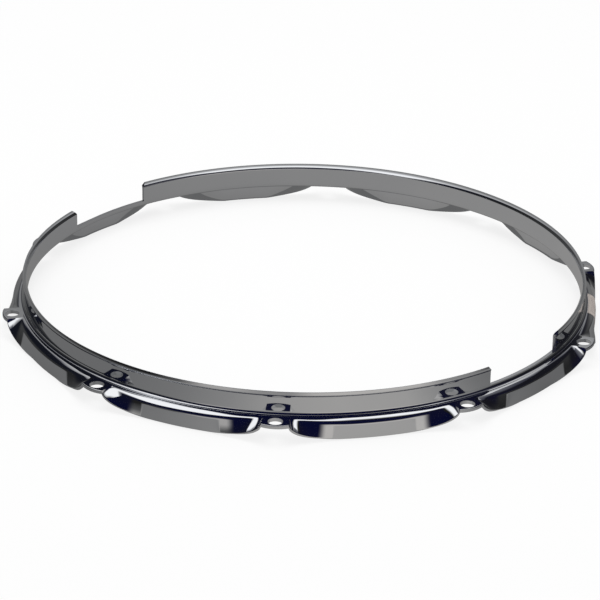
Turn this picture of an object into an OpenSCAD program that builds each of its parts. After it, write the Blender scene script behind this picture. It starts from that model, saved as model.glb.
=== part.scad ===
// Snare-side drum hoop: one ring pressed from steel sheet, with a small paper label on its skirt.
// Seen in section from the top: a flared flange, an upright collar, a narrow seat and a skirt
// that hangs down. At each lug the sheet stays flat and runs out as an ear with a rod hole.
// Z is up, the ring's axis is Z, the skirts stand on z = 0, and the two snare gates lie on X.

/* [Collar] */
// Inside diameter of the collar, which passes over the drum shell
collar_inner_d = 357; // [330:0.5:400]
// Thickness of the steel sheet
sheet = 2.3; // [1.6:0.1:3]
// Height of the flange's upper edge above the top of the seat
collar_h = 15.3; // [13:0.1:25]
// Radius inside the bend that turns the collar out into the flange
flange_bend_r = 2; // [1:0.1:4]
// Angle that the flange turns through from upright
flange_angle = 68; // [45:1:85]

/* [Seat and skirt] */
// Radius inside the bend at the foot of the collar
root_bend_r = 2.3; // [1:0.1:3]
// Width of the flat ring that bears on the head's flesh hoop
seat_w = 0.8; // [0.6:0.1:4]
// Radius inside the fold between the seat and the skirt
fold_bend_r = 2.1; // [1:0.1:4]
// Depth of the skirt below the top of the seat
skirt_drop = 12.5; // [10:0.1:20]

/* [Lugs] */
// Number of lugs around the ring
lug_count = 10; // [6:2:12]
// Distance from the collar's outer face to the centre of each rod hole
lug_offset = 9.2; // [8.5:0.1:14]
// Diameter of the rod holes
lug_hole_d = 9; // [6:0.1:10]
// Width of the flat part of each ear
ear_w = 16; // [13:0.5:20]
// Reach of the ear's rounded nose beyond the centre of its hole
ear_reach = 6.1; // [5.6:0.1:9]
// How much less far the ear's corners reach than its nose
ear_corner_drop = 1.6; // [0.8:0.1:2]
// Length along the ring over which an ear bends down into the full skirt
blend_run = 36; // [24:1:38]
// Shape of that bend: under 1 it starts steeply at the ear
blend_power = 0.8; // [0.6:0.05:1.2]

/* [Snare gates] */
// Width of each gate cut through the collar
gate_w = 64; // [40:1:80]
// Height of the low wall left standing in the gate above the top of the seat
gate_sill = 2.3; // [2.3:0.1:5]
// How far the flange's corners are cut back on each side of a gate
gate_corner = 3.3; // [1:0.1:6]

/* [Label] */
// Length of the label along the ring
label_len = 30; // [15:1:34]
// How far the label hangs down the skirt below the fold
label_hang = 5.1; // [1:0.1:5.5]
// Thickness of the label
label_t = 0.2; // [0.1:0.05:0.5]
// Direction of the label's middle from X, in skirts from the first gate
label_bay = 1; // [1:1:2]

/* [Hidden] */
$fn = 180;
steel_colour = [0.62, 0.63, 0.66];
paper_colour = [0.85, 0.82, 0.77];

// Radii of the ring's features, each one built outward from the collar
collar_r = collar_inner_d / 2;
wall_r = collar_r + sheet;
root_r = wall_r + root_bend_r;
fold_r = root_r + seat_w;
skirt_r = fold_r + fold_bend_r + sheet;
lug_r = wall_r + lug_offset;
nose_r = lug_r + ear_reach;
ear_corner_r = nose_r - ear_corner_drop;

// Heights
seat_z = skirt_drop;
top_z = seat_z + collar_h;
flange_z = top_z - (flange_bend_r + sheet) * sin(flange_angle);
sill_z = seat_z + gate_sill;
fold_z = seat_z - sheet - fold_bend_r;

// Angles around the ring, with the first gate on X and a lug half a bay from it
quarter_turn = 90;
half_turn = 2 * quarter_turn;
radian = half_turn / PI;
bay_angle = 2 * half_turn / lug_count;
lug_angles = [for (i = [0 : lug_count - 1]) bay_angle * i + bay_angle / 2];
gate_angles = [0, half_turn];
ear_half_angle = asin(ear_w / 2 / lug_r);
blend_angle = blend_run / lug_r * radian;
full_skirt_angle = ear_half_angle + blend_angle;
plain_angle = bay_angle - 2 * full_skirt_angle;
label_angle = min(label_len / skirt_r * radian, plain_angle);

// Length of the sheet beyond the fold's start, along its middle, at an ear and at the full skirt
fold_mid_r = fold_bend_r + sheet / 2;
skirt_straight = skirt_drop - fold_bend_r - sheet;
ear_sheet = ear_corner_r - fold_r;
skirt_sheet = skirt_straight + fold_mid_r * quarter_turn / radian;
sheet_growth = 1.5;

// Rounding of the ear's nose, from its reach and the place of its corners
nose_half_w = ear_corner_r * sin(ear_half_angle);
nose_rise = nose_r - ear_corner_r * cos(ear_half_angle);
nose_round = (pow(nose_half_w, 2) + pow(nose_rise, 2)) / 2 / nose_rise;
nose_centre = nose_r - nose_round;

// The skirts reach into the collar's flat foot, just inside its faces
lap = 0.2;
lap_tuck = 0.01;
lap_r = root_r + lap;
foot_r = lap_r + lap;

// Cuts run past the faces that they open by this much
through = 1;

// Steps that the skirts are built in, and the shares of the way from an ear to the full skirt
fold_steps = 3;
nose_steps = 3;
plain_steps = 4;
blend_stations = [0.05, 0.13, 0.24, 0.38, 0.54, 0.74, 1];

// Bend of the sheet at a share of the way from an ear to the full skirt
function bend_at(share) = quarter_turn * sin(quarter_turn * pow(share, blend_power));

// Length of the sheet beyond the fold at that share
function sheet_at(share) = ear_sheet + (skirt_sheet - ear_sheet) * pow(share, sheet_growth);

// Radius of the ear's rounded nose at an angle from the middle of its lug
function nose_at(angle) =
    nose_centre * cos(angle) + sqrt(pow(nose_round, 2) - pow(nose_centre * sin(angle), 2));

// Points of one face of the fold and of the straight sheet after it, as [radius, height]
function fold_points(bend, straight, face_r) = concat(
    [for (i = [0 : fold_steps])
        let (a = bend * i / fold_steps)
        [fold_r + face_r * sin(a), fold_z + face_r * cos(a)]],
    [[fold_r + face_r * sin(bend) + straight * cos(bend),
      fold_z + face_r * cos(bend) - straight * sin(bend)]]);

function backwards(list) = [for (i = [len(list) - 1 : -1 : 0]) list[i]];

// Closed section of the sheet outside the seat, at an angle from the middle of a lug
function sheet_section(turn) =
    let (
        share = min(1, max(0, (abs(turn) - ear_half_angle) / blend_angle)),
        bend = bend_at(share),
        length = share > 0 ? sheet_at(share) : nose_at(turn) - fold_r,
        straight = length - fold_mid_r * bend / radian)
    concat(
        [[lap_r, seat_z - lap_tuck]],
        fold_points(bend, straight, fold_bend_r + sheet),
        backwards(fold_points(bend, straight, fold_bend_r)),
        [[lap_r, seat_z - sheet + lap_tuck]]);

// Part of a bend in the collar's section: a quarter or less of a round band of sheet
module bend_band(inner_r, from_angle, to_angle) {
    reach = 2 * (inner_r + sheet);
    middle = (from_angle + to_angle) / 2;
    intersection() {
        difference() {
            circle(r = inner_r + sheet);
            circle(r = inner_r);
        }
        polygon([[0, 0],
            reach * [cos(from_angle), sin(from_angle)],
            reach * [cos(middle), sin(middle)],
            reach * [cos(to_angle), sin(to_angle)]]);
    }
}

// Section of flange, collar wall, root bend and flat foot
module collar_section() {
    translate([wall_r + flange_bend_r, flange_z]) 
        bend_band(flange_bend_r, half_turn - flange_angle, half_turn);
    translate([collar_r, seat_z + root_bend_r]) square([sheet, flange_z - seat_z - root_bend_r]);
    translate([root_r, seat_z + root_bend_r])
        bend_band(root_bend_r, half_turn, half_turn + quarter_turn);
    translate([root_r, seat_z - sheet]) square([foot_r - root_r, sheet]);
}

// The sheet outside the seat, closed round the ring: flat across each ear, then bent down
// further and further to the full skirt half-way between two lugs
module skirts() {
    flat = [for (k = [-nose_steps : nose_steps]) ear_half_angle * k / nose_steps];
    bent = [for (share = blend_stations) ear_half_angle + blend_angle * share];
    plain = [for (k = [1 : plain_steps - 1]) full_skirt_angle + plain_angle * k / plain_steps];
    turns = concat(-1 * backwards(bent), flat, bent, plain);
    sections = [for (turn = turns) sheet_section(turn)];
    corners = len(sections[0]);
    total = lug_count * len(turns);
    points = [for (lug_angle = lug_angles, k = [0 : len(turns) - 1], p = sections[k])
        let (a = lug_angle + turns[k])
        [p[0] * cos(a), p[0] * sin(a), p[1]]];
    faces = [for (i = [0 : total - 1], j = [0 : corners - 1])
        let (here = i * corners, next = (i + 1) % total * corners, k = (j + 1) % corners)
        for (face = [[here + j, next + j, next + k], [here + j, next + k, here + k]]) face];
    polyhedron(points, faces);
}

// One gate: the cut through the collar, wider where it passes the flange
module gate() {
    half_w = gate_w / 2;
    near_x = collar_r * cos(asin((half_w + gate_corner) / collar_r)) - through;
    translate([near_x, 0, 0]) rotate([quarter_turn, 0, quarter_turn]) linear_extrude(nose_r - near_x)
        polygon([
            [-half_w, sill_z],
            [half_w, sill_z],
            [half_w, flange_z],
            [half_w + gate_corner, top_z],
            [half_w + gate_corner, top_z + through],
            [-half_w - gate_corner, top_z + through],
            [-half_w - gate_corner, top_z],
            [-half_w, flange_z]]);
}

// Through hole for a tension rod, on the X axis
module rod_hole() {
    translate([lug_r, 0, seat_z - sheet - through]) cylinder(d = lug_hole_d, h = sheet + 2 * through);
}

// The pressed ring
module hoop() {
    color(steel_colour) difference() {
        union() {
            difference() {
                rotate_extrude() collar_section();
                for (a = gate_angles) rotate([0, 0, a]) gate();
            }
            skirts();
        }
        for (a = lug_angles) rotate([0, 0, a]) rod_hole();
    }
}

// Paper label stuck over the fold, on a full skirt
module label() {
    face_r = fold_bend_r + sheet;
    under = concat([[foot_r, seat_z]], fold_points(quarter_turn, label_hang, face_r));
    over = concat([[foot_r, seat_z + label_t]],
        fold_points(quarter_turn, label_hang, face_r + label_t));
    color(paper_colour) rotate([0, 0, bay_angle * label_bay])
        rotate_extrude(angle = label_angle, start = -label_angle / 2)
            polygon(concat(under, backwards(over)));
}

hoop();
label();
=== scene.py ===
"""Looks for the drum hoop: a chromed, pressed-steel ring with a small film label, in a plain studio."""

import logging
import math
from dataclasses import dataclass, field
from enum import Enum
from typing import Any, Callable, Iterable, Sequence

import bmesh
import bpy
from mathutils import Matrix, Vector

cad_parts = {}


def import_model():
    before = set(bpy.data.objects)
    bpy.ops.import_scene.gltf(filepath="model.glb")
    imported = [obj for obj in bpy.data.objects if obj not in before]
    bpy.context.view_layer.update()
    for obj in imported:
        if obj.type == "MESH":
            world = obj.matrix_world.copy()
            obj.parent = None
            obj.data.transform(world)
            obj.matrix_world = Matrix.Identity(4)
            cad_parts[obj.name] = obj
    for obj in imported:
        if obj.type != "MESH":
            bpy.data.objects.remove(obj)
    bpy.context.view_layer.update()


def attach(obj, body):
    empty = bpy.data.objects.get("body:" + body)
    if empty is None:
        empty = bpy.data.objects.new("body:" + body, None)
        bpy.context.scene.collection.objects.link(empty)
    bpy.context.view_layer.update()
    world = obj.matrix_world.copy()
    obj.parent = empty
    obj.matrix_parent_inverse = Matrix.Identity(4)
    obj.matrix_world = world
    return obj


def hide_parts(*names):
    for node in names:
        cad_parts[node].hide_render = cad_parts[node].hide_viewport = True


log = logging.getLogger("drum_hoop")
MM = 0.001
Point = tuple[float, float]


class Value:
    """One number of a shader, on which Python's operators add Math nodes."""

    def __init__(self, graph: "Graph", socket: Any) -> None:
        """Keeps the graph and the output socket that carries the number.

        Args:
            graph: The graph that the nodes are added to.
            socket: The output socket.
        """
        self.graph = graph
        self.socket = socket

    def _math(self, operation: str, first: Any, second: Any = None) -> "Value":
        """Adds one Math node.

        Args:
            operation: The node's operation.
            first: Its first value.
            second: Its second value, if it has one.

        Returns:
            The result.
        """
        inputs = {0: first} if second is None else {0: first, 1: second}
        return self.graph.node("ShaderNodeMath", {"operation": operation}, inputs)["Value"]

    def __add__(self, other: Any) -> "Value":
        """self + other."""
        return self._math("ADD", self, other)

    def __radd__(self, other: Any) -> "Value":
        """other + self."""
        return self._math("ADD", other, self)

    def __sub__(self, other: Any) -> "Value":
        """self - other."""
        return self._math("SUBTRACT", self, other)

    def __rsub__(self, other: Any) -> "Value":
        """other - self."""
        return self._math("SUBTRACT", other, self)

    def __mul__(self, other: Any) -> "Value":
        """self * other."""
        return self._math("MULTIPLY", self, other)

    def __rmul__(self, other: Any) -> "Value":
        """other * self."""
        return self._math("MULTIPLY", other, self)

    def __truediv__(self, other: Any) -> "Value":
        """self / other."""
        return self._math("DIVIDE", self, other)

    def __gt__(self, other: Any) -> "Value":
        """1 where self is over other, else 0."""
        return self._math("GREATER_THAN", self, other)

    def clamp(self) -> "Value":
        """self kept between 0 and 1."""
        return self.graph.node("ShaderNodeClamp", {}, {"Value": self})["Result"]

    def arcsine(self) -> "Value":
        """The angle whose sine is self, in radians."""
        return self._math("ARCSINE", self)

    def turn(self, other: Any) -> "Value":
        """The direction of the point (other, self) as a share of a full turn, 0.5 being straight on."""
        return self._math("ARCTAN2", self, other) / (2 * math.pi) + 0.5

    def size(self) -> "Value":
        """self without its sign."""
        return self._math("ABSOLUTE", self)

    def ramp(self, stops: Sequence[tuple[float, Sequence[float]]], smooth: bool = False) -> "Value":
        """A colour looked up by self.

        Args:
            stops: Pairs of place from 0 to 1 and colour.
            smooth: Whether the colours ease into each other.

        Returns:
            The colour.
        """
        return self.graph.node(
            "ShaderNodeValToRGB", {"stops": stops, "ease": smooth}, {"Fac": self})["Color"]


class Graph:
    """The node tree of one material or world, cleared and ready to be filled."""

    def __init__(self, owner: Any) -> None:
        """Clears the owner's nodes.

        Args:
            owner: A material or a world.
        """
        owner.use_nodes = True
        self.tree = owner.node_tree
        self.tree.nodes.clear()

    def node(self, kind: str, settings: dict[str, Any], inputs: dict[Any, Any]) -> dict[str, Value]:
        """Adds one node, the only way that nodes are made here.

        Args:
            kind: The node's type.
            settings: Its settings, set first; "stops" and "ease" shape a colour ramp.
            inputs: Values or links for its sockets, by name or number.

        Returns:
            Its outputs by name.
        """
        made = self.tree.nodes.new(kind)
        for name, value in settings.items():
            if name == "stops":
                self._shape_ramp(made.color_ramp, value)
            elif name == "ease":
                made.color_ramp.interpolation = "EASE" if value else "LINEAR"
            else:
                setattr(made, name, value)
        for name, value in inputs.items():
            if isinstance(value, Value):
                self.tree.links.new(value.socket, made.inputs[name])
            else:
                made.inputs[name].default_value = value
        return {s.name: Value(self, s) for s in made.outputs if s.enabled}

    @staticmethod
    def _shape_ramp(ramp: Any, stops: Sequence[tuple[float, Sequence[float]]]) -> None:
        """Sets the stops of a colour ramp.

        Args:
            ramp: The ramp.
            stops: Pairs of place and colour.
        """
        while len(ramp.elements) > 1:
            ramp.elements.remove(ramp.elements[0])
        ramp.elements[0].position, ramp.elements[0].color = stops[0][0], (*stops[0][1], 1)
        for place, colour in stops[1:]:
            ramp.elements.new(place).color = (*colour, 1)

    def coordinates(self, name: str) -> Value:
        """One output of Texture Coordinate.

        Args:
            name: The output's name.

        Returns:
            The coordinates.
        """
        return self.node("ShaderNodeTexCoord", {}, {})[name]

    def split(self, vector: Value) -> tuple[Value, Value, Value]:
        """The three numbers of a vector.

        Args:
            vector: The vector.

        Returns:
            x, y and z.
        """
        out = self.node("ShaderNodeSeparateXYZ", {}, {"Vector": vector})
        return out["X"], out["Y"], out["Z"]

    def along(self, vector: Value, direction: Sequence[float]) -> Value:
        """How far a vector reaches in a direction.

        Args:
            vector: The vector.
            direction: The direction, of length 1.

        Returns:
            The reach.
        """
        return self.node(
            "ShaderNodeVectorMath", {"operation": "DOT_PRODUCT"}, {0: vector, 1: direction})["Value"]

    def noise(self, where: Value, scale: float, detail: float = 2.0) -> Value:
        """Soft noise from 0 to 1.

        Args:
            where: The coordinates it is read at, in metres.
            scale: Its spots per metre.
            detail: How many finer layers it has.

        Returns:
            The noise.
        """
        return self.node(
            "ShaderNodeTexNoise", {}, {"Vector": where, "Scale": scale, "Detail": detail})["Fac"]

    def mix(self, amount: Any, first: Any, second: Any) -> Value:
        """A blend of two colours.

        Args:
            amount: 0 for the first, 1 for the second.
            first: The first colour.
            second: The second colour.

        Returns:
            The blended colour.
        """
        made = self.tree.nodes.new("ShaderNodeMix")
        made.data_type = "RGBA"
        sockets = [s for s in made.inputs if s.enabled]
        for socket, value in zip(sockets, (amount, first, second)):
            if isinstance(value, Value):
                self.tree.links.new(value.socket, socket)
            elif isinstance(value, (int, float)):
                socket.default_value = value
            else:
                socket.default_value = (*value, 1)
        return Value(self, next(s for s in made.outputs if s.enabled))

    def bump(self, height: Value, distance: float, strength: float) -> Value:
        """A normal bent by a height.

        Args:
            height: The height from 0 to 1.
            distance: What 1 stands for, in metres.
            strength: How much of it is used.

        Returns:
            The normal.
        """
        return self.node(
            "ShaderNodeBump", {}, {"Height": height, "Distance": distance, "Strength": strength})["Normal"]

    def surface(self, sockets: dict[str, Any]) -> None:
        """Ends a material with a Principled surface.

        Args:
            sockets: Values or links of the surface's sockets.
        """
        shader = self.node("ShaderNodeBsdfPrincipled", {}, sockets)["BSDF"]
        self.node("ShaderNodeOutputMaterial", {}, {"Surface": shader})


@dataclass(frozen=True)
class ChromeFinish:
    """Bright chrome plating over pressed steel."""

    name: str = "chrome_plating"
    tint: tuple[float, float, float] = (0.80, 0.815, 0.84)
    haze: tuple[float, float, float] = (0.72, 0.74, 0.78)
    smooth: float = 0.035
    dull: float = 0.10

    def material(self) -> bpy.types.Material:
        """Plating with a trace of haze, wiping marks and the slow ripple of the press.

        Returns:
            The material.
        """
        made = bpy.data.materials.new(self.name)
        graph = Graph(made)
        where = graph.coordinates("Object")
        cloud = graph.noise(where, 14.0, 3.0)
        specks = graph.noise(where, 900.0, 2.0)
        patch = ((cloud - 0.45) * 2.2).clamp()
        ripple = graph.noise(where, 55.0, 1.0)
        graph.surface({
            "Base Color": graph.mix(patch * 0.5, self.tint, self.haze),
            "Metallic": 1.0,
            "Roughness": self.smooth + patch * (self.dull - self.smooth) * 0.4 + (specks > 0.72) * 0.03,
            "Normal": graph.bump(ripple, 0.00025, 0.10),
        })
        return made


@dataclass(frozen=True)
class ShearedFinish:
    """A cut edge of the sheet, plated after it was sheared."""

    name: str = "plated_cut_edge"
    tint: tuple[float, float, float] = (0.74, 0.75, 0.78)
    grain: float = 2600.0

    def material(self) -> bpy.types.Material:
        """Plating over fine shear lines.

        Returns:
            The material.
        """
        made = bpy.data.materials.new(self.name)
        graph = Graph(made)
        where = graph.coordinates("Object")
        lines = graph.noise(where, self.grain, 1.0)
        graph.surface({
            "Base Color": graph.mix(lines, self.tint, (0.66, 0.67, 0.70)),
            "Metallic": 1.0,
            "Roughness": 0.07 + lines * 0.08,
            "Normal": graph.bump(lines, 0.00003, 0.5),
        })
        return made


@dataclass(frozen=True)
class FilmFinish:
    """Thin printed film: pale, a little warm, with plain even bars."""

    name: str = "label_film"
    ground: tuple[float, float, float] = (0.56, 0.50, 0.46)
    bar: tuple[float, float, float] = (0.30, 0.27, 0.26)
    bars: int = 11

    def material(self) -> bpy.types.Material:
        """Film with evenly spaced bars that mean nothing, read from the piece's own UV map.

        Returns:
            The material.
        """
        made = bpy.data.materials.new(self.name)
        graph = Graph(made)
        u, v, _ = graph.split(graph.coordinates("UV"))
        where = graph.coordinates("Object")
        wave = graph.node("ShaderNodeMath", {"operation": "FRACT"}, {0: u * self.bars})["Value"]
        inside = (u > 0.10) * (0.90 - u > 0.0) * (v > 0.30) * (0.86 - v > 0.0)
        bars = (wave > 0.5) * inside
        fibre = graph.noise(where, 1500.0, 3.0)
        graph.surface({
            "Base Color": graph.mix(bars * 0.45 + fibre * 0.08, self.ground, self.bar),
            "Roughness": 0.42 + fibre * 0.12,
            "Normal": graph.bump(fibre, 0.00002, 0.4),
        })
        return made


def deselect() -> None:
    """Leaves nothing selected, so that an operator acts on one piece alone."""
    if bpy.context.object and bpy.context.object.mode != "OBJECT":
        bpy.ops.object.mode_set(mode="OBJECT")
    bpy.ops.object.select_all(action="DESELECT")


def activate(piece: bpy.types.Object) -> None:
    """Makes one object the only selected one.

    Args:
        piece: The object.
    """
    deselect()
    piece.select_set(True)
    bpy.context.view_layer.objects.active = piece


def edit(piece: bpy.types.Object, *steps: Callable[[], Any]) -> None:
    """Runs operators in edit mode with the whole mesh selected.

    Args:
        piece: The object.
        steps: What is run, in order.
    """
    activate(piece)
    bpy.ops.object.mode_set(mode="EDIT")
    bpy.ops.mesh.select_all(action="SELECT")
    for step in steps:
        step()
    bpy.ops.object.mode_set(mode="OBJECT")


def apply_modifier(piece: bpy.types.Object, kind: str, **settings: Any) -> None:
    """Adds one modifier and applies it.

    Args:
        piece: The object.
        kind: The modifier's type.
        settings: Its settings.
    """
    activate(piece)
    made = piece.modifiers.new(kind.title(), kind)
    for name, value in settings.items():
        setattr(made, name, value)
    bpy.ops.object.modifier_apply(modifier=made.name)


def outward(piece: bpy.types.Object) -> None:
    """Turns every face of a closed piece outwards.

    Args:
        piece: The object.
    """
    edit(piece, lambda: bpy.ops.mesh.normals_make_consistent(inside=False))


class Half(Enum):
    """The two sides of the ring that a snare gate is cut through."""

    PLUS_X = 1
    MINUS_X = -1


@dataclass
class Sheet:
    """The pressed sheet's middle line in section, in millimetres, with its seat's top at height 0."""

    thick: float = 2.3
    collar_r: float = 178.5
    bore_side: tuple[tuple[float, float, float, int], ...] = (
        (0.0, 23.5, 0.6, 4), (23.5, 27.3, 1.15, 3), (27.3, 44.0, 1.05, 4), (44.0, 64.0, 1.65, 6))
    bore_side_from: float = 11.82
    rim_side: tuple[tuple[float, float, float, int], ...] = ((0.0, 43.5, 2.43, 8),)
    rim_side_from: float = 10.9
    root_r: float = 3.45
    seat: float = 0.8
    fold_r: float = 3.25
    skirt_drop: float = 12.5
    ear_half: float = 8.0
    blend: float = 36.0
    lug_r: float = 190.0
    nose_r: float = 196.1
    corner_r: float = 194.5
    rounding: float = 0.42
    tip_rounding: float = 0.18
    wall_marks: tuple[float, ...] = (10.4, 8.3, 5.3)
    fold_marks: tuple[float, ...] = (
        0.0, 0.4, 0.8, 1.2, 1.7, 2.2, 2.7, 3.1, 3.5, 3.8, 4.1, 4.4, 4.7, 5.0, 5.3)
    skirt_marks: tuple[float, ...] = (0.12, 0.35, 0.6, 0.85, 0.95, 1.0)
    shoulder: tuple[Point, ...] = ((0.0, 0.0), (0.10, 0.24), (0.55, 0.38), (1.0, 1.0))
    bends: tuple[Point, ...] = (
        (0.0, 0.0), (0.8, 10.0), (3.75, 26.0), (6.0, 35.0), (10.0, 46.5), (15.9, 59.5), (22.0, 70.0),
        (28.0, 79.0), (33.0, 86.5), (36.0, 90.0))

    @property
    def wall_r(self) -> float:
        """Radius of the upright wall's middle."""
        return self.collar_r + self.thick / 2

    @property
    def root_centre(self) -> float:
        """Radius of the centre of the bend at the collar's foot."""
        return self.wall_r + self.root_r

    @property
    def fold_start(self) -> float:
        """Radius at which the seat ends and the fold starts."""
        return self.root_centre + self.seat

    def nose(self, u: float) -> float:
        """Radius of the ear's rounded nose.

        Args:
            u: Distance along the ring from the lug's middle.

        Returns:
            The radius.
        """
        half = self.corner_r * math.sin(self.ear_half / self.lug_r)
        rise = self.nose_r - self.corner_r * math.cos(self.ear_half / self.lug_r)
        bow = (half * half + rise * rise) / 2 / rise
        centre = self.nose_r - bow
        turn = u / self.lug_r
        return centre * math.cos(turn) + math.sqrt(bow * bow - (centre * math.sin(turn)) ** 2)

    def bend(self, u: float) -> float:
        """How far the sheet is folded down.

        Args:
            u: Distance along the ring from the lug's middle.

        Returns:
            The angle in radians.
        """
        return math.radians(self.read(self.bends, min(self.blend, max(0.0, abs(u) - self.ear_half))))

    def length(self, u: float) -> float:
        """Length of the middle line beyond the fold's start.

        Args:
            u: Distance along the ring from the lug's middle.

        Returns:
            The length.
        """
        if abs(u) <= self.ear_half:
            return self.nose(u) - self.fold_start
        ear = self.corner_r - self.fold_start
        skirt = self.fold_r * math.pi / 2 + self.skirt_drop - self.fold_r - self.thick / 2
        share = min(1.0, (abs(u) - self.ear_half) / self.blend)
        return ear + (skirt - ear) * share ** 0.9

    @staticmethod
    def read(marks: Sequence[Point], place: float) -> float:
        """A value between marks that always rise, without kinks.

        Args:
            marks: Pairs of place and value.
            place: The place.

        Returns:
            The value there.
        """
        slopes = [(q[1] - p[1]) / (q[0] - p[0]) for p, q in zip(marks, marks[1:])]
        tangents = [slopes[0], *(2 * m * n / (m + n) for m, n in zip(slopes, slopes[1:])), slopes[-1]]
        k = next((i for i in range(len(slopes) - 1) if place <= marks[i + 1][0]), len(slopes) - 1)
        (x0, y0), (x1, y1) = marks[k], marks[k + 1]
        w = x1 - x0
        t = (place - x0) / w
        return ((2 * t ** 3 - 3 * t ** 2 + 1) * y0 + (t ** 3 - 2 * t ** 2 + t) * w * tangents[k]
                + (3 * t ** 2 - 2 * t ** 3) * y1 + (t ** 3 - t ** 2) * w * tangents[k + 1])

    def fold(self, u: float) -> tuple[Callable[[float], tuple[float, float, float]], float]:
        """The fold and the straight sheet after it.

        Args:
            u: Distance along the ring from the lug's middle.

        Returns:
            A function from the distance along the middle line to its radius, height and angle, and how much
            longer that line is than with a round fold. The straight sheet lies where a round fold would
            put it.
        """
        bend = self.bend(u)
        run = self.fold_r * bend
        steps = 60
        path = [(0.0, 0.0, 0.0)]
        for k in range(steps):
            a = bend * self.read(self.shoulder, (k + 0.5) / steps)
            r, z, _ = path[-1]
            path.append((r + run / steps * math.cos(a), z - run / steps * math.sin(a),
                         bend * self.read(self.shoulder, (k + 1) / steps)))
        aside = path[-1][0] - self.fold_r * math.sin(bend)
        below = path[-1][1] + self.fold_r * (1 - math.cos(bend))
        back = aside + below / math.tan(bend) if bend > 0.02 else 0.0
        extra = below * math.sin(bend) - (aside - back) * math.cos(bend)
        low_z = -self.thick / 2

        def at(s: float) -> tuple[float, float, float]:
            if run and s < run:
                share = max(s, 0.0) / run * steps
                k = min(int(share), steps - 1)
                p, q, t = path[k], path[k + 1], share - min(int(share), steps - 1)
                r, z, a = (x + (y - x) * t for x, y in zip(p, q))
                return self.fold_start - back + r + min(s, 0.0), low_z + z, a
            rest = s - run
            r, z, _ = path[-1]
            return (self.fold_start - back + r + rest * math.cos(bend),
                    low_z + z - rest * math.sin(bend), bend)

        return at, extra

    @staticmethod
    def curve(start: Point, parts: Sequence[tuple[float, float, float, int]]) -> list[Point]:
        """Points along a face that climbs and turns outwards.

        Args:
            start: Radius and height of its foot.
            parts: For each stretch: the angle from upright at its ends, its length and its number of steps.

        Returns:
            The points after the foot, upwards.
        """
        points = [start]
        for first, last, length, steps in parts:
            for k in range(steps):
                a = math.radians(first + (last - first) * (k + 0.5) / steps)
                r, z = points[-1]
                points.append((r + length / steps * math.sin(a), z + length / steps * math.cos(a)))
        return points

    @staticmethod
    def corner(before: Point, point: Point, after: Point, size: float) -> list[Point]:
        """A corner rounded a little.

        Args:
            before: The point before the corner.
            point: The corner.
            after: The point after it.
            size: How far the rounding reaches along both sides.

        Returns:
            Four points.
        """
        here, ways = Vector(point), [Vector(p) - Vector(point) for p in (before, after)]
        ends = [here + way.normalized() * size for way in ways]
        return [tuple(ends[0] * (1 - t) ** 2 + here * (2 * t * (1 - t)) + ends[1] * t ** 2)
                for t in (0.0, 0.33, 0.67, 1.0)]

    def middle(self, u: float) -> list[tuple[float, float, float, float]]:
        """The middle line from below the flange to the sheet's outer edge.

        Args:
            u: Distance along the ring from the lug's middle.

        Returns:
            Radius, height and the outward normal at each point.
        """
        line: list[tuple[float, float, float, float]] = []
        low = self.root_r - self.thick / 2
        for z in (*self.wall_marks, low + 0.3):
            line.append((self.wall_r, z, 1.0, 0.0))
        for k in range(8):
            a = math.radians(180.0 + 90.0 * k / 7)
            c, s = math.cos(a), math.sin(a)
            line.append((self.root_centre + self.root_r * c, low + self.root_r * s, -c, -s))
        line.append((self.root_centre + 0.07, -self.thick / 2, 0.0, 1.0))
        at, extra = self.fold(u)
        end = self.length(u) - self.rounding + extra
        last = self.fold_marks[-1]
        for s in (*self.fold_marks, *(last + (end - last) * share for share in self.skirt_marks)):
            r, z, a = at(s)
            line.append((r, z, math.sin(a), math.cos(a)))
        return line

    def outline(self, u: float) -> list[Point]:
        """The sheet's closed section with rounded cut edges.

        Args:
            u: Distance along the ring from the lug's middle.

        Returns:
            Radius and height of each point, in order.
        """
        line = self.middle(u)
        half, small = self.thick / 2, self.rounding
        outer = [(r + half * nr, z + half * nz) for r, z, nr, nz in line]
        inner = [(r - half * nr, z - half * nz) for r, z, nr, nz in line]

        def end(point: tuple[float, float, float, float], along: Point) -> list[Point]:
            r, z, nr, nz = point
            out = []
            for side, angles in ((1, (30, 60, 90)), (-1, (90, 60, 30))):
                cr, cz = r + side * (half - small) * nr, z + side * (half - small) * nz
                for degrees in angles:
                    b = math.radians(degrees)
                    out.append((cr + side * small * math.cos(b) * nr + small * math.sin(b) * along[0],
                                cz + side * small * math.cos(b) * nz + small * math.sin(b) * along[1]))
            return out

        last = line[-1]
        edge = end(last, (last[3], -last[2]))
        bore = self.curve((self.collar_r, self.bore_side_from), self.bore_side)
        rim = self.curve((self.collar_r + self.thick, self.rim_side_from), self.rim_side)
        tip = self.corner(bore[-2], bore[-1], rim[-1], self.tip_rounding)
        lip = self.corner(bore[-1], rim[-1], rim[-2], self.tip_rounding)
        return rim[-2::-1] + outer + edge + inner[::-1] + bore[:-1] + tip + lip


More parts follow.
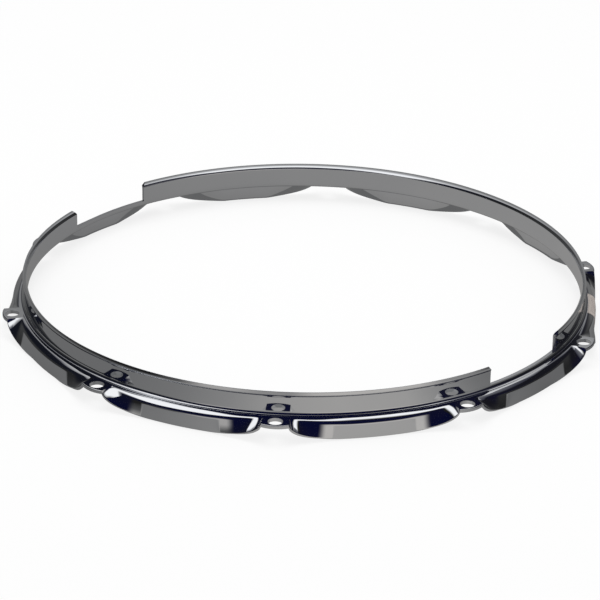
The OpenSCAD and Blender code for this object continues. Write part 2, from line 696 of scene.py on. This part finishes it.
@dataclass
class PressedHoop:
    """The ring: section, press stations, rod holes and gates."""

    sheet: Sheet = field(default_factory=Sheet)
    lugs: int = 10
    seat_z: float = 12.5
    hole_r: float = 4.5
    gate_half: float = 32.3
    gate_at: float = 175.6
    gate_flare: float = 0.35
    gate_corner: float = 2.2
    gate_sill: float = 2.32
    flare_from: float = 12.7
    top: float = 15.3
    die_top: float = 20.0
    die_reach: tuple[float, float] = (170.0, 192.0)
    stations: tuple[float, ...] = (
        0.0, 1.6, 3.2, 4.8, 6.4, 7.5, 8.0, 8.4, 8.8, 9.2, 9.7, 10.2, 10.8, 11.4, 12.0, 12.7, 13.4, 14.2, 15.0,
        16.0, 17.0, 18.0, 19.0, 20.0, 21.2, 22.5, 24.0, 25.5, 27.0, 28.7, 30.5, 32.5, 34.5, 36.5, 38.5, 40.5,
        42.5, 44.5, 47.0, 49.5, 52.0, 54.5, 57.0)

    def columns(self) -> list[tuple[float, float]]:
        """Where the press shapes the ring.

        Returns:
            The angle round the ring and the distance from the nearest lug's middle, in order.
        """
        bay = 2 * math.pi / self.lugs
        half = bay / 2 * self.sheet.lug_r
        marks = [*self.stations, half]
        one = [-u for u in marks[:0:-1]] + marks[:-1]
        return [(bay * (i + 0.5) + u / self.sheet.lug_r, u) for i in range(self.lugs) for u in one]

    def blank(self) -> bpy.types.Object:
        """A closed section on the X side, spun into a plain ring.

        Returns:
            The ring before pressing.
        """
        outline = self.sheet.outline(self.sheet.lug_r)
        deselect()
        bpy.ops.mesh.primitive_circle_add(vertices=len(outline), radius=1.0, fill_type="NOTHING")
        ring = bpy.context.object
        for vertex, (r, z) in zip(ring.data.vertices, outline):
            vertex.co = (r * MM, 0.0, (z + self.seat_z) * MM)
        steps = len(self.columns())
        edit(ring, lambda: bpy.ops.mesh.spin(
            steps=steps, angle=2 * math.pi, center=(0, 0, 0), axis=(0, 0, 1)),
            lambda: bpy.ops.mesh.select_all(action="SELECT"),
            lambda: bpy.ops.mesh.remove_doubles(threshold=1e-6))
        return ring

    def press(self, ring: bpy.types.Object) -> None:
        """Moves each column of the ring to its place and shape.

        Args:
            ring: The plain ring.
        """
        columns = self.columns()
        start = self.sheet.outline(self.sheet.lug_r)
        index = {(round(r * 50), round(z * 50)): k for k, (r, z) in enumerate(start)}
        assert len(index) == len(start), "two points of the section are closer than the press can tell"
        shapes = [self.sheet.outline(u) for _, u in columns]
        step = 2 * math.pi / len(columns)
        for vertex in ring.data.vertices:
            x, y, z = vertex.co
            column = round(math.atan2(y, x) / step) % len(columns)
            r_key, z_key = math.hypot(x, y) / MM * 50, (z / MM - self.seat_z) * 50
            k = min(((a, b) for a in (-1, 0, 1) for b in (-1, 0, 1)
                     if (round(r_key) + a, round(z_key) + b) in index),
                    key=lambda d: abs(round(r_key) + d[0] - r_key) + abs(round(z_key) + d[1] - z_key))
            r, height = shapes[column][index[round(r_key) + k[0], round(z_key) + k[1]]]
            angle = columns[column][0]
            vertex.co = (r * MM * math.cos(angle), r * MM * math.sin(angle), (height + self.seat_z) * MM)

    def punch(self) -> bpy.types.Object:
        """One cutter for all rod holes.

        Returns:
            The cutter.
        """
        cutters = []
        for i in range(self.lugs):
            a = 2 * math.pi / self.lugs * (i + 0.5)
            deselect()
            bpy.ops.mesh.primitive_cylinder_add(
                vertices=56, radius=self.hole_r * MM, depth=8 * MM,
                location=(self.sheet.lug_r * MM * math.cos(a), self.sheet.lug_r * MM * math.sin(a),
                          (self.seat_z - self.sheet.thick / 2) * MM))
            cutters.append(bpy.context.object)
        return join(cutters, "rod_hole_punch")

    def gate_die(self) -> bpy.types.Object:
        """One cutter for both snare gates, wider at the flange.

        Returns:
            The cutter.
        """
        cutters = []
        for half in Half:
            deselect()
            bpy.ops.mesh.primitive_cube_add(size=1.0)
            die = bpy.context.object
            low, high = self.seat_z + self.gate_sill, self.seat_z + self.die_top
            flare = self.seat_z + self.flare_from
            for vertex in die.data.vertices:
                x, y, z = vertex.co
                reach = self.die_reach[0] if x < 0 else self.die_reach[1]
                wide = self.gate_half + (reach - self.gate_at) * self.gate_flare
                vertex.co = (reach * MM * half.value, math.copysign(wide, y) * MM,
                             (low if z < 0 else flare) * MM)
            mesh = bmesh.new()
            mesh.from_mesh(die.data)
            top = [f for f in mesh.faces if all(v.co.z > (flare - 0.01) * MM for v in f.verts)]
            made = bmesh.ops.extrude_face_region(mesh, geom=top)
            corner_rise = self.top + self.seat_z - flare
            for v in made["geom"]:
                if isinstance(v, bmesh.types.BMVert):
                    v.co.y += math.copysign(self.gate_corner, v.co.y) * MM
                    v.co.z += corner_rise * MM
            bmesh.ops.delete(mesh, geom=top, context="FACES_ONLY")
            rim = [f for f in mesh.faces if all(v.co.z > (flare + corner_rise - 0.01) * MM for v in f.verts)]
            made = bmesh.ops.extrude_face_region(mesh, geom=rim)
            for v in made["geom"]:
                if isinstance(v, bmesh.types.BMVert):
                    v.co.z = high * MM
            bmesh.ops.delete(mesh, geom=rim, context="FACES_ONLY")
            mesh.to_mesh(die.data)
            mesh.free()
            outward(die)
            cutters.append(die)
        return join(cutters, "gate_die")

    def soften_holes(self, ring: bpy.types.Object) -> None:
        """Rounds the rims of the rod holes.

        Args:
            ring: The ring with its holes.
        """
        mesh = bmesh.new()
        mesh.from_mesh(ring.data)
        centres = [Vector((math.cos(a), math.sin(a))) * self.sheet.lug_r * MM
                   for a in (2 * math.pi / self.lugs * (i + 0.5) for i in range(self.lugs))]
        faces = (self.seat_z * MM, (self.seat_z - self.sheet.thick) * MM)
        rims = []
        for edge in mesh.edges:
            a, b = edge.verts
            if not any(abs(a.co.z - z) < 2e-5 and abs(b.co.z - z) < 2e-5 for z in faces):
                continue
            for centre in centres:
                if all(abs((Vector(v.co.xy) - centre).length - self.hole_r * MM) < 3e-5 for v in (a, b)):
                    rims.append(edge)
                    break
        bmesh.ops.bevel(mesh, geom=rims, offset=0.4 * MM, offset_type="OFFSET", segments=3, profile=0.5,
                        affect="EDGES", clamp_overlap=True)
        mesh.to_mesh(ring.data)
        mesh.free()
        log.info("rod holes: %d rim edges rounded", len(rims))

    def build(self) -> bpy.types.Object:
        """Makes the whole ring.

        Returns:
            The finished piece.
        """
        ring = self.blank()
        ring.name = ring.data.name = "pressed_hoop"
        self.press(ring)
        outward(ring)
        for cutter in (self.gate_die(), self.punch()):
            apply_modifier(ring, "BOOLEAN", operation="DIFFERENCE", solver="EXACT", object=cutter)
            bpy.data.objects.remove(cutter, do_unlink=True)
        self.soften_holes(ring)
        ring.data.materials.clear()
        ring.data.materials.append(ChromeFinish().material())
        ring.data.materials.append(ShearedFinish().material())
        self.mark_gate_cuts(ring)
        activate(ring)
        bpy.ops.object.shade_smooth_by_angle(angle=math.radians(38))
        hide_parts("hoop")
        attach(ring, "root")
        return ring

    def mark_gate_cuts(self, ring: bpy.types.Object) -> None:
        """Gives the faces that the gate's die left the cut edge's finish.

        Args:
            ring: The ring with its gates.
        """
        for face in ring.data.polygons:
            x, y, z = face.center
            normal = face.normal
            side = abs(abs(y) / MM - self.gate_half) < self.gate_corner + 2.5 and abs(normal.y) > 0.7
            floor = abs(y) / MM < self.gate_half and abs(z / MM - self.seat_z - self.gate_sill) < 0.02
            above = z / MM > self.seat_z + self.gate_sill - 0.01
            if above and abs(x) > 0.17 and (side or (floor and normal.z > 0.9)):
                face.material_index = 1


def join(pieces: Iterable[bpy.types.Object], name: str) -> bpy.types.Object:
    """Joins objects into one.

    Args:
        pieces: The objects.
        name: The name of the result.

    Returns:
        The joined object, at the origin.
    """
    pieces = list(pieces)
    deselect()
    for piece in pieces:
        piece.select_set(True)
    bpy.context.view_layer.objects.active = pieces[0]
    bpy.ops.object.join()
    bpy.ops.object.transform_apply(location=True, rotation=True, scale=True)
    made = bpy.context.object
    made.name = made.data.name = name
    return made


@dataclass
class FilmLabel:
    """A thin film label over the fold of one skirt."""

    sheet: Sheet = field(default_factory=Sheet)
    middle: float = 36.0
    length: float = 30.0
    hang: float = 5.1
    top_run: float = 0.2
    thick: float = 0.16
    seat_z: float = 12.5

    def build(self) -> bpy.types.Object:
        """Lays a flat grid over the seat, the fold and the skirt, and gives it its thickness.

        Returns:
            The finished piece.
        """
        deselect()
        bpy.ops.mesh.primitive_grid_add(x_subdivisions=36, y_subdivisions=22, size=1.0, calc_uvs=True)
        film = bpy.context.object
        film.name = film.data.name = "film_label"
        at, _ = self.sheet.fold(self.sheet.lug_r)
        half = self.sheet.thick / 2
        total = self.top_run + self.sheet.fold_r * math.pi / 2 + self.hang
        for vertex in film.data.vertices:
            x, y, _ = vertex.co
            face_r = self.sheet.fold_start + self.sheet.fold_r + half
            angle = math.radians(self.middle) + x * self.length / face_r
            r, z, a = at((0.5 - y) * total - self.top_run)
            r, z = r + half * math.sin(a), z + half * math.cos(a)
            vertex.co = (r * MM * math.cos(angle), r * MM * math.sin(angle), (z + self.seat_z) * MM)
        edit(film, lambda: bpy.ops.mesh.normals_make_consistent(inside=False))
        if film.data.polygons[0].normal.dot(Vector(film.data.polygons[0].center)) < 0:
            edit(film, bpy.ops.mesh.flip_normals)
        apply_modifier(film, "SOLIDIFY", thickness=self.thick * MM, offset=1.0)
        film.data.materials.clear()
        film.data.materials.append(FilmFinish().material())
        activate(film)
        bpy.ops.object.shade_smooth_by_angle(angle=math.radians(40))
        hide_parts("label")
        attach(film, "root")
        return film


@dataclass
class Studio:
    """A pale floor, soft light and the surroundings that the plating reflects."""

    floor_size: float = 9.0
    lens: float = 172.117
    camera_at: tuple[float, float, float] = (1.10680390, -1.28296456, 0.77714004)
    right: tuple[float, float, float] = (0.75224596, 0.65875710, 0.01284934)
    up: tuple[float, float, float] = (-0.28205251, 0.30433356, 0.90985024)
    back: tuple[float, float, float] = (0.59545982, -0.68805535, 0.41473778)
    towards: tuple[float, float, float] = (0.6544, -0.7562, 0.0)
    rightwards: tuple[float, float, float] = (0.7562, 0.6544, 0.0)
    roof: tuple[float, float, float, float] = (-0.36, 0.33, -1.2, 0.21)
    roof_height: float = 0.25
    low_band: tuple[tuple[float, float], ...] = (
        (-180, 0.17), (-152, 0.15), (-142, 0.06), (-100, 0.02), (-60, 0.015), (-48, 0.10), (-38, 0.40),
        (-28, 0.42), (-16, 0.30), (-5, 0.28), (4, 0.48), (15, 0.52), (45, 0.50), (55, 0.30), (68, 0.24),
        (78, 0.03), (100, 0.02), (140, 0.05), (155, 0.17), (180, 0.18))

    def camera(self) -> None:
        """Puts the camera where the photograph was taken from."""
        data = bpy.data.cameras.new("camera")
        data.lens, data.sensor_width, data.clip_start, data.clip_end = self.lens, 36.0, 0.05, 60.0
        made = bpy.data.objects.new("camera", data)
        bpy.context.collection.objects.link(made)
        made.matrix_world = Matrix((
            (self.right[0], self.up[0], self.back[0], self.camera_at[0]),
            (self.right[1], self.up[1], self.back[1], self.camera_at[1]),
            (self.right[2], self.up[2], self.back[2], self.camera_at[2]),
            (0, 0, 0, 1)))
        bpy.context.scene.camera = made

    def floor(self) -> None:
        """A pale floor: white to the camera with the hoop's shadow on it; to the plating it glows, its
        brightness painted by place round the hoop as painted shade and painted reflection.
        """
        deselect()
        bpy.ops.mesh.primitive_plane_add(size=self.floor_size)
        plane = bpy.context.object
        plane.name = plane.data.name = "floor"
        made = bpy.data.materials.new("floor_paper")
        graph = Graph(made)
        path = graph.node("ShaderNodeLightPath", {}, {})
        where = graph.coordinates("Object")
        turn = graph.along(where, self.rightwards).turn(graph.along(where, self.towards))
        reach = graph.node("ShaderNodeVectorMath", {"operation": "LENGTH"}, {0: where})["Value"]
        # Painted shade and painted reflection: the plating sees the floor as a glow whose brightness is set
        # by the angle round the hoop, with one ramp inside the ring, one just outside and one far out.
        inside = turn.ramp(self.greys(
            (-180, 0.29), (-130, 0.24), (-90, 0.23), (0, 0.25), (90, 0.30), (120, 0.33), (180, 0.29)))
        beside = turn.ramp(self.greys(
            (-180, 0.17), (-90, 0.15), (-45, 0.16), (-30, 0.20), (-17, 0.28), (-6, 0.39), (8, 0.44),
            (24, 0.42), (31, 0.32), (42, 0.19), (52, 0.14), (75, 0.13), (95, 0.19), (130, 0.16),
            (180, 0.17)))
        far = turn.ramp(self.greys(*self.low_band))
        outside = graph.mix(((reach - 0.26) * 4.0).clamp(), beside, far)
        shade = graph.mix(reach > 0.184, inside, outside)
        pale = graph.node("ShaderNodeBsdfDiffuse", {}, {"Color": (0.42, 0.42, 0.42, 1)})["BSDF"]
        bright = graph.node("ShaderNodeBsdfDiffuse", {}, {"Color": (0.97, 0.97, 0.97, 1)})["BSDF"]
        # The painted glow that the plating sees on the floor, its brightness set by place.
        shaded = graph.node("ShaderNodeEmission", {}, {"Color": shade, "Strength": 0.9})["Emission"]
        white = graph.node("ShaderNodeEmission", {}, {"Color": (1, 1, 1, 1), "Strength": 1.0})["Emission"]
        dim = graph.node("ShaderNodeBsdfDiffuse", {}, {"Color": (0.42, 0.42, 0.42, 1)})["BSDF"]
        painted_glow_for_plating = graph.node("ShaderNodeMixShader", {}, {0: 0.9, 1: dim, 2: shaded})["Shader"]
        seen = graph.node("ShaderNodeMixShader", {}, {0: 0.8, 1: bright, 2: white})["Shader"]
        lit = graph.node("ShaderNodeMixShader", {}, {0: path["Is Glossy Ray"], 1: pale, 2: painted_glow_for_plating})["Shader"]
        both = graph.node("ShaderNodeMixShader", {}, {0: path["Is Camera Ray"], 1: lit, 2: seen})["Shader"]
        graph.node("ShaderNodeOutputMaterial", {}, {"Surface": both})
        plane.data.materials.append(made)

    def panel(self) -> None:
        """A glowing sheet in place of the light tent's roof, seen only in the plating: a painted reflection
        of a white band over the hoop, and behind it a stretch that fades to grey.
        """
        deselect()
        bpy.ops.mesh.primitive_plane_add(size=1.0)
        plane = bpy.context.object
        plane.name = plane.data.name = "tent_roof"
        left, right, back, front = self.roof
        for vertex in plane.data.vertices:
            x, y, _ = vertex.co
            place = (Vector(self.rightwards) * (right if x > 0 else left)
                     + Vector(self.towards) * (front if y > 0 else back))
            vertex.co = (place.x, place.y, self.roof_height)
        made = bpy.data.materials.new("tent_roof_glow")
        graph = Graph(made)
        where = graph.coordinates("Object")
        across = graph.along(where, self.rightwards)
        depth = graph.along(where, self.towards) + across * 0.15
        run = (depth - back) / (front - back)
        span = (across - left) / (right - left)

        def deep(*stops: tuple[float, float]) -> list[tuple[float, Sequence[float]]]:
            return [((place - back) / (front - back), (v, v, v)) for place, v in stops]

        def wide(*stops: tuple[float, float]) -> list[tuple[float, Sequence[float]]]:
            return [((place - left) / (right - left), (v, v, v)) for place, v in stops]

        edge = ((0.02, 1.08), (0.165, 1.10), (0.185, 0.45), (0.20, 0.012))
        sides = run.ramp(deep((-1.2, 0.22), (-0.5, 0.24), (-0.35, 0.36), (-0.25, 0.46), (-0.12, 0.50),
                              (-0.06, 0.62), (-0.02, 0.85), *edge))
        centre = run.ramp(deep((-1.2, 0.24), (-0.5, 0.22), (-0.3, 0.22), (-0.2, 0.21), (-0.15, 0.33),
                               (-0.1, 0.45), (-0.05, 0.65), (-0.01, 0.95), *edge))
        off_centre = ((across.size() - 0.05) * 8.0).clamp()
        # Painted reflection: brightness of the roof's glow by depth, one ramp near the middle and one to the
        # sides.
        glow_by_depth = graph.mix(off_centre, centre, sides)
        white_width = span.ramp(wide((-0.36, 0.0), (-0.31, 0.25), (-0.27, 1.0), (0.19, 1.0), (0.22, 0.15),
                                     (0.33, 0.02)))
        grey_width = span.ramp(wide((-0.36, 0.05), (-0.33, 0.5), (-0.28, 1.0), (0.24, 1.0), (0.29, 0.4),
                                    (0.33, 0.03)))
        width = graph.mix(depth > -0.01, grey_width, white_width)
        # Painted reflection: the roof glows though it is no lamp and lights nothing; only the plating sees
        # it.
        glow = graph.node("ShaderNodeEmission", {}, {
            "Color": graph.mix(width, (0.006, 0.007, 0.025), glow_by_depth), "Strength": 1.0})["Emission"]
        graph.node("ShaderNodeOutputMaterial", {}, {"Surface": glow})
        plane.data.materials.append(made)
        plane.visible_camera = plane.visible_diffuse = plane.visible_shadow = False

    @staticmethod
    def greys(*stops: tuple[float, float]) -> list[tuple[float, Sequence[float]]]:
        """Stops of a ramp round the hoop, a little warmer where they are brighter.

        Args:
            stops: Pairs of degrees from the camera's side and brightness.

        Returns:
            Pairs of place and colour.
        """
        return [(degrees / 360 + 0.5, (v * (0.99 + 0.10 * v), v, v * (1.01 - 0.12 * v)))
                for degrees, v in stops]

    def surroundings(self) -> None:
        """White for the camera; for the plating, dark walls with a pale stretch low on the camera's side."""
        world = bpy.data.worlds.new("studio")
        bpy.context.scene.world = world
        graph = Graph(world)
        direction = graph.coordinates("Generated")
        _, _, up = graph.split(direction)
        turn = graph.along(direction, self.rightwards).turn(graph.along(direction, self.towards))
        level = up.arcsine() / math.pi + 0.5

        def rise(*stops: tuple[float, float]) -> list[tuple[float, Sequence[float]]]:
            return [((degrees + 90) / 180, (v, v, v)) for degrees, v in stops]

        pale = turn.ramp(self.greys(*self.low_band))
        fade = level.ramp(rise((-90, 1), (12, 1), (16, 0.75), (20, 0.35), (24, 0.08), (27, 0)))
        dusk = turn.ramp([
            (0.2, (0.008, 0.009, 0.014)), (0.4, (0.003, 0.004, 0.024)), (0.55, (0.003, 0.004, 0.026)),
            (0.7, (0.006, 0.006, 0.022)), (0.8, (0.010, 0.010, 0.014))])
        shown = graph.mix(fade, dusk, pale)
        path = graph.node("ShaderNodeLightPath", {}, {})
        soft = graph.node("ShaderNodeBackground", {}, {"Color": (1, 1, 1, 1), "Strength": 0.62})["Background"]
        glossy = graph.node("ShaderNodeBackground", {}, {"Color": shown, "Strength": 1.0})["Background"]
        white = graph.node("ShaderNodeBackground", {}, {"Color": (1, 1, 1, 1), "Strength": 1.0})["Background"]
        lit = graph.node("ShaderNodeMixShader", {}, {0: path["Is Glossy Ray"], 1: soft, 2: glossy})["Shader"]
        both = graph.node("ShaderNodeMixShader", {}, {0: path["Is Camera Ray"], 1: lit, 2: white})["Shader"]
        graph.node("ShaderNodeOutputWorld", {}, {"Surface": both})

    def lamps(self) -> None:
        """One wide soft lamp overhead."""
        data = bpy.data.lights.new("softbox", "AREA")
        data.shape, data.size, data.size_y, data.energy = "RECTANGLE", 1.6, 1.2, 14.0
        made = bpy.data.objects.new("softbox", data)
        bpy.context.collection.objects.link(made)
        made.location = (-0.1, 0.1, 1.7)
        made.visible_glossy = False

    def build(self) -> None:
        """Sets up the whole studio."""
        self.floor()
        self.panel()
        self.surroundings()
        self.lamps()
        self.camera()
        bpy.context.scene.view_settings.view_transform = "Standard"


def main() -> None:
    """Builds every piece and the studio, and reports them."""
    logging.basicConfig(level=logging.INFO, format="%(name)s: %(message)s")
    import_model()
    for maker in (PressedHoop(), FilmLabel()):
        piece = maker.build()
        log.info("%s: %d faces", piece.name, len(piece.data.polygons))
    Studio().build()
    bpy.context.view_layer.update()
    deselect()


if __name__ == "__main__":
    main()
